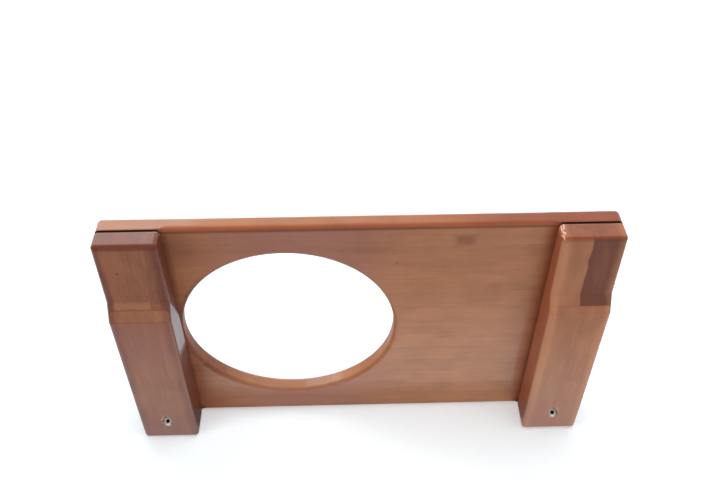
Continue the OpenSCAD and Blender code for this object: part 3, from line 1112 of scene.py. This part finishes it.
def place_light(name, at, aim, size, power, mirrored):
    """A square lamp that looks at a point, and shows in reflections or not."""
    lamp = bpy.data.lights.new(name, "AREA")
    lamp.size = size
    lamp.energy = power
    holder = new_object(name, lamp)
    holder.visible_glossy = mirrored
    holder.location = at
    holder.rotation_euler = (Vector(aim) - Vector(at)).to_track_quat("-Z", "Y").to_euler()


def make_world():
    """White where the camera looks, a room that reflects dimmer below, and a plain even level as light."""
    world = bpy.data.worlds.new("studio")
    world.use_nodes = True
    bpy.context.scene.world = world
    tree = world.node_tree
    path = put(tree, "LightPath").outputs
    gloss = highest(tree, path["Is Glossy Ray"], path["Is Transmission Ray"])
    _, _, upward = split(tree, put(tree, "TexCoord").outputs["Generated"])
    room = remap(tree, upward, -0.1, 0.4, ROOM_MIRRORED, 1.0)
    strength = blend(tree, gloss, ROOM_LIGHT, room)
    strength = blend(tree, path["Is Camera Ray"], strength, 1.0)
    feed(tree, tree.nodes["Background"], {"Color": WHITE, "Strength": strength})


def stage_plane(name, half, at, turn):
    """A square of the studio, with a material that still needs a surface."""
    mesh = bpy.data.meshes.new(name)
    stand = Matrix.Translation(at) @ turn
    corners = [stand @ corner.to_3d() for corner in rectangle(-half, -half, half, half)]
    mesh.from_pydata(corners, [], [(0, 1, 2, 3)])
    plane = new_object(name, mesh)
    material, tree, shader, place = start_material(name)
    tree.nodes.remove(shader)
    mesh.materials.append(material)
    return plane, tree, place


def show(tree, surface):
    """Makes the shader what the material shows."""
    feed(tree, tree.nodes["Material Output"], {"Surface": surface.outputs[0]})


def make_wall():
    """A white wall behind the shelf: it shows the shelf's shadow from the front, and is open from behind.
    What the varnish mirrors of it is dimmer far below the shelf and right beside it, as painted shade."""
    _, tree, place = stage_plane("wall", WALL_HALF, (0, WALL_GAP, 0), Matrix.Rotation(math.pi / 2, 4, "X"))
    paint = put(tree, "BsdfDiffuse", {"Color": WALL_PAINT})
    white = put(tree, "Emission", {"Color": WHITE, "Strength": WALL_GLOW})
    lit = put(tree, "AddShader", {0: paint.outputs[0], 1: white.outputs[0]})
    path = put(tree, "LightPath").outputs
    _, _, height = split(tree, place)
    below = remap(tree, height, -200 * MM, -70 * MM, 0.3, 1.15)
    beside = remap(tree, calc(tree, "ABSOLUTE", height), 20 * MM, 50 * MM, 0.1, 1.0)
    mirrored = put(tree, "Emission", {"Color": WALL_MIRRORED, "Strength": times(tree, below, beside)})
    shown = put(tree, "MixShader", {0: path["Is Glossy Ray"], 1: lit.outputs[0], 2: mirrored.outputs[0]})
    behind = put(tree, "NewGeometry").outputs["Backfacing"]
    seen = highest(tree, path["Is Camera Ray"], path["Is Glossy Ray"])
    seen = times(tree, seen, less(tree, behind, 1.0))
    clear = put(tree, "BsdfTransparent")
    show(tree, put(tree, "MixShader", {0: seen, 1: clear.outputs[0], 2: shown.outputs[0]}))


def make_floor():
    """A pale floor well below the shelf, which glows a little for the camera so that it looks white."""
    floor, tree, place = stage_plane("floor", FLOOR_HALF, (0, 0, FLOOR_Z), Matrix.Identity(4))
    speckle = noise(tree, place, FLOOR_SPECKLE, 3.0)
    light, dark = ((shade, shade, shade, 1) for shade in FLOOR_SHADES)
    paint = put(tree, "BsdfDiffuse", {"Color": mix(tree, speckle, light, dark)})
    seen = put(tree, "LightPath").outputs["Is Camera Ray"]
    white = put(tree, "Emission", {"Color": WHITE, "Strength": times(tree, seen, FLOOR_GLOW)})
    show(tree, put(tree, "AddShader", {0: paint.outputs[0], 1: white.outputs[0]}))
    floor.visible_glossy = False


def make_camera():
    """Looks up at the shelf from where the photograph was taken."""
    lens = bpy.data.cameras.new("camera")
    lens.sensor_width = SENSOR_MM
    lens.lens = SENSOR_MM * FOCAL_PIXELS / PHOTO_WIDTH
    camera = new_object("camera", lens)
    yaw = Matrix.Rotation(-VIEW_YAW, 4, "Z")
    pitch = Matrix.Rotation(math.pi / 2 + VIEW_PITCH, 4, "X")
    roll = Matrix.Rotation(-VIEW_ROLL, 4, "Z")
    camera.matrix_world = Matrix.Translation(VIEW_FROM) @ yaw @ pitch @ roll
    bpy.context.scene.camera = camera


# The shelf

def dress_node(node, material):
    """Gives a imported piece, whose shape is right, its finish."""
    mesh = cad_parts[node].data
    mesh.materials.clear()
    mesh.materials.append(material)


def dress():
    """Makes every piece and hands each its material."""
    raw = bare_wood("raw bamboo", "YXZ", RAW_BAMBOO, rough=(0.75, 0.9), bumps=0.5, deep=0.3 * MM)
    beech = bare_wood("beech", "ZXY", BEECH, rough=(0.6, 0.7), bumps=0.3, deep=0.2 * MM)
    steel = plated_metal("hanger steel", STEEL, rough=(0.34, 0.54))
    zinc = plated_metal("bright zinc", ZINC, rough=(0.2, 0.4))
    board = make_board(board_bamboo())
    cut(board, dowel_bores("left") + dowel_bores("right"), raw)
    settle(board, "shelf_board")
    for i, (side, sign) in enumerate(SIDES.items()):
        x = sign * BRACKET_X
        block_x = sign * BLOCK_X
        wood = {name: values[i] for name, values in BRACKET_WOOD.items()}
        bamboo = bracket_bamboo(side, block_x, wood)
        bracket = make_bracket(f"{side}_bracket_block", block_x, bamboo, wood["step stain"])
        cut(bracket, hanger_cutters(x) + dowel_bores(side), raw)
        settle(bracket, f"{side}_bracket")
        settle(make_set_screw(f"{side}_socket_screw", x, zinc), f"{side}_set_screw")
        settle(make_insert(f"{side}_wood_insert", x, zinc), f"{side}_thread_insert")
        settle(make_plate(f"{side}_wall_plate", x, steel), f"{side}_hanger_plate")
        dress_node(f"{side}_hanger_rod", steel)
        for k in range(1, DOWELS + 1):
            dress_node(f"{side}_dowel_{k}", beech)


make_camera()
make_world()
make_wall()
make_floor()
for lamp in LAMPS:
    place_light(*lamp)
dress()

bpy.context.scene.view_settings.view_transform = "Standard"
